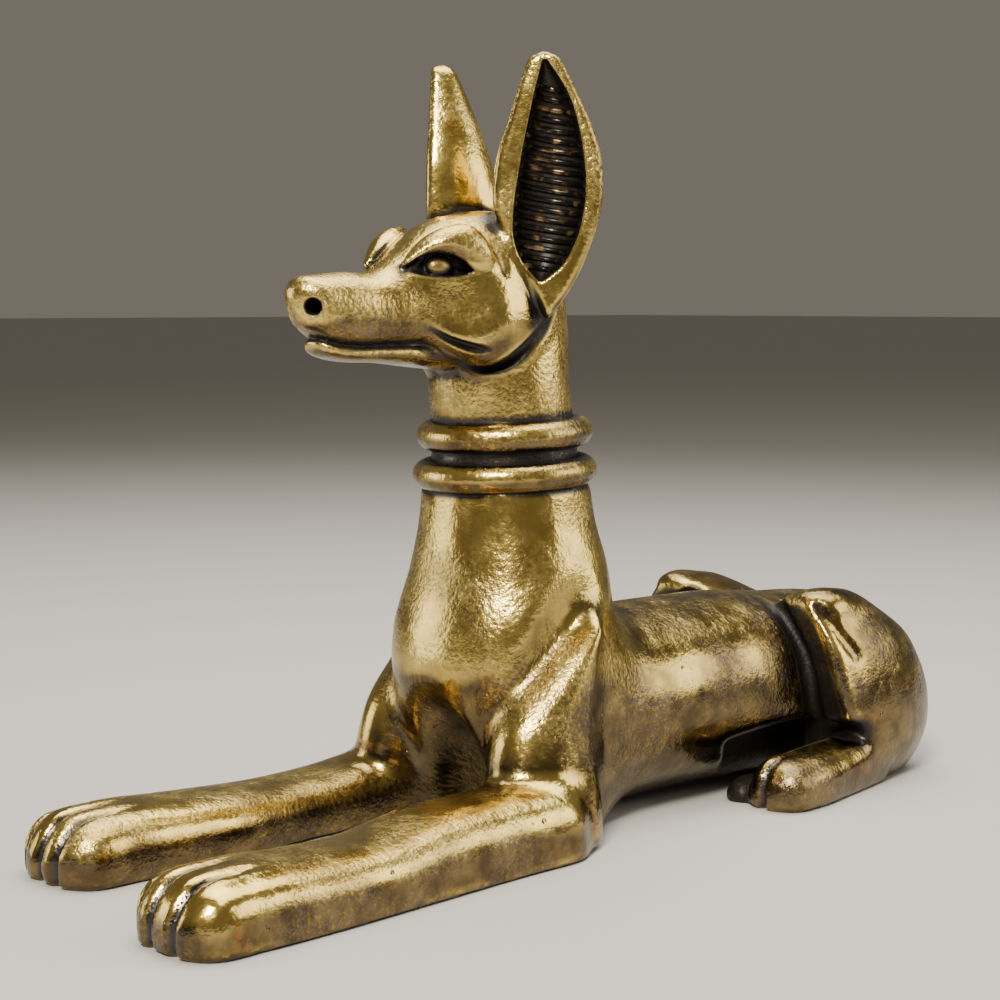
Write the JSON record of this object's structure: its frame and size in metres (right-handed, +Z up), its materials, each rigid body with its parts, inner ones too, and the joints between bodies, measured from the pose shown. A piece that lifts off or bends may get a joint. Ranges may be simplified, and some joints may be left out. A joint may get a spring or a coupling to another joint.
{
  "type": "jackal figurine",
  "caption": "Solid brass casting of a lying jackal with pricked ears, ringed collar, outstretched forelegs and a tail round its flank; rests on a flat underside as an ornament.",
  "frame": {"origin": "middle of the underside of the figure's box, on the resting plane", "axes": "+Z up, the animal looks and its forelegs point along -Y, its left side is +X"},
  "size_m": [0.0196, 0.0548, 0.0373],
  "materials": {
    "brass": "antique cast brass: warm worn high spots, fine grain, black-brown patina in the creases and in the ears"
  },
  "bodies": {
    "root": {"jackal_figure": "brass"}
  },
  "joints": []
}
